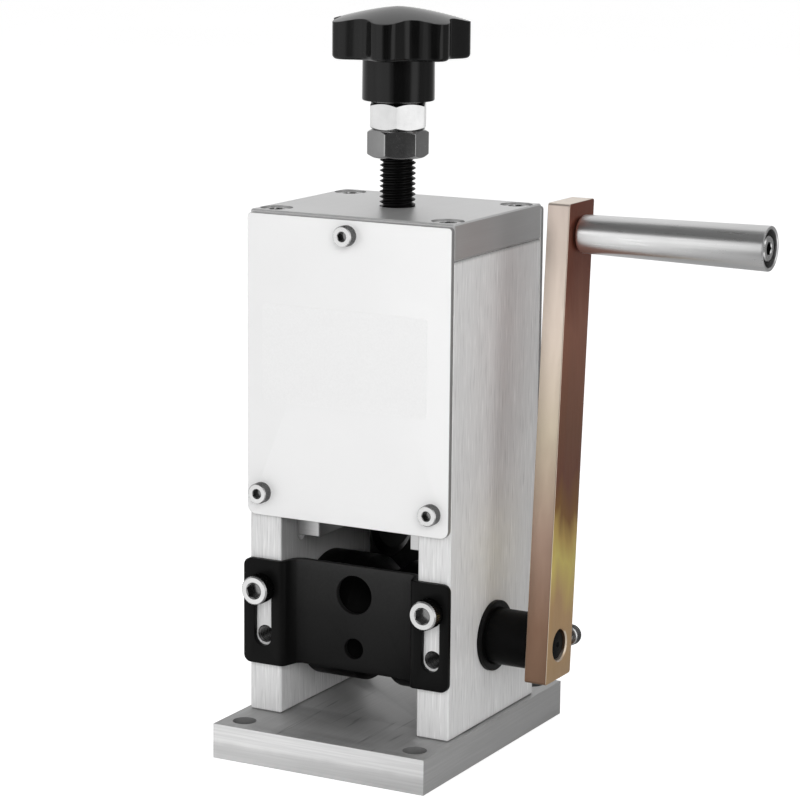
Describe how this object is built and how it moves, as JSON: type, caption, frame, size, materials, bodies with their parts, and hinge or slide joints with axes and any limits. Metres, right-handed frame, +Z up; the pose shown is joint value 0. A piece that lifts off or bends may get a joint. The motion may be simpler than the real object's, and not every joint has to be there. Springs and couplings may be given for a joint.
{
  "type": "hand crank wire stripper",
  "caption": "Upright bench wire stripper: a grooved feed roller turned by a hand crank under a round blade on a carrier set by a screw spindle with a star knob.",
  "frame": {"origin": "on the underside of the base plate, below the axis of the adjusting spindle", "axes": "+Z up along the spindle, -Y towards the feeding side, +X towards the crank along the roller's shaft"},
  "size_m": [0.1692, 0.104, 0.2503],
  "materials": {
    "aluminium_plate": "milled faces with fine vertical brushing, sharp broken edges",
    "aluminium_block": "milled block",
    "zinc_screw": "bright zinc-plated steel",
    "white_cover": "glossy white sheet",
    "blank_label": "blank pale film",
    "black_sheet": "satin black paint",
    "black_steel": "black oxide",
    "black_thread": "black oxide thread",
    "tool_steel": "ground steel",
    "black_bush": "black bearing plastic",
    "yellow_chromate": "zinc plating with yellow iridescent chromate",
    "satin_steel": "turned satin steel",
    "black_rubber_washer": "black washer",
    "grey_nut": "grey steel nut",
    "bright_nut": "bright plated nut",
    "black_knob": "moulded black thermoset",
    "blade_steel": "hardened blade steel, ground bevels",
    "bearing_steel": "polished bearing steel"
  },
  "bodies": {
    "frame": {"base_plate": "aluminium_plate", "base_screws": "zinc_screw", "side_plate_left": "aluminium_plate", "side_plate_right": "aluminium_plate", "top_plate": "aluminium_plate", "top_plate_screws": "zinc_screw", "front_cover": "white_cover", "rear_cover": "white_cover", "front_cover_screws": "zinc_screw", "rear_cover_screws": "zinc_screw", "blank_label": "blank_label", "front_guide_screws": "zinc_screw", "rear_guide_screws": "zinc_screw", "left_bush": "black_bush", "right_bush": "black_bush"},
    "front_guide": {"front_guide_plate": "black_sheet"},
    "rear_guide": {"rear_guide_plate": "black_sheet"},
    "crank": {"feed_roller": "black_steel", "roller_key": "tool_steel", "main_shaft": "black_steel", "crank_arm": "yellow_chromate", "arm_clamp_screw": "zinc_screw", "handle_inner_washer": "zinc_screw", "handle_pad": "black_rubber_washer", "handle_bolt": "zinc_screw"},
    "handle": {"handle_sleeve": "satin_steel"},
    "carrier": {"blade_carrier": "aluminium_block", "carrier_keys": "tool_steel", "spindle_keepers": "tool_steel", "keeper_screws": "zinc_screw", "bearing_outer_rings": "bearing_steel", "bearing_balls": "bearing_steel", "bearing_snap_rings": "tool_steel"},
    "spindle_body": {"spindle": "black_thread", "lock_nut": "grey_nut", "knob_nut": "bright_nut", "star_knob": "black_knob"},
    "blade": {"blade_axle": "tool_steel", "cutting_blade": "blade_steel", "blade_collars": "black_steel", "bearing_inner_rings": "bearing_steel"}
  },
  "joints": [
    {"name": "crank_spin", "type": "hinge", "parent": "frame", "child": "crank", "pos_m": [0, 0, 0.041], "axis": [1, 0, 0], "continuous": true},
    {"name": "handle_spin", "type": "hinge", "parent": "crank", "child": "handle", "pos_m": [0.0963, 0.00983, 0.17815], "axis": [1, 0, 0], "continuous": true},
    {"name": "blade_height", "type": "slide", "parent": "frame", "child": "carrier", "axis": [0, 0, 1], "range_m": [-0.0054, 0.0146]},
    {"name": "spindle_turn", "type": "hinge", "parent": "carrier", "child": "spindle_body", "pos_m": [0, 0, 0.184], "axis": [0, 0, 1], "range_deg": [-1111.4, 3003.9]},
    {"name": "blade_spin", "type": "hinge", "parent": "carrier", "child": "blade", "pos_m": [0, 0, 0.082], "axis": [1, 0, 0], "continuous": true},
    {"name": "front_guide_height", "type": "slide", "parent": "frame", "child": "front_guide", "axis": [0, 0, 1], "range_m": [0, 0.015]},
    {"name": "rear_guide_height", "type": "slide", "parent": "frame", "child": "rear_guide", "axis": [0, 0, 1], "range_m": [-0.008, 0.007]}
  ],
  "couplings": [
    {"joint": "spindle_turn", "follows": "blade_height", "rad_per_m": 3590.4}
  ]
}
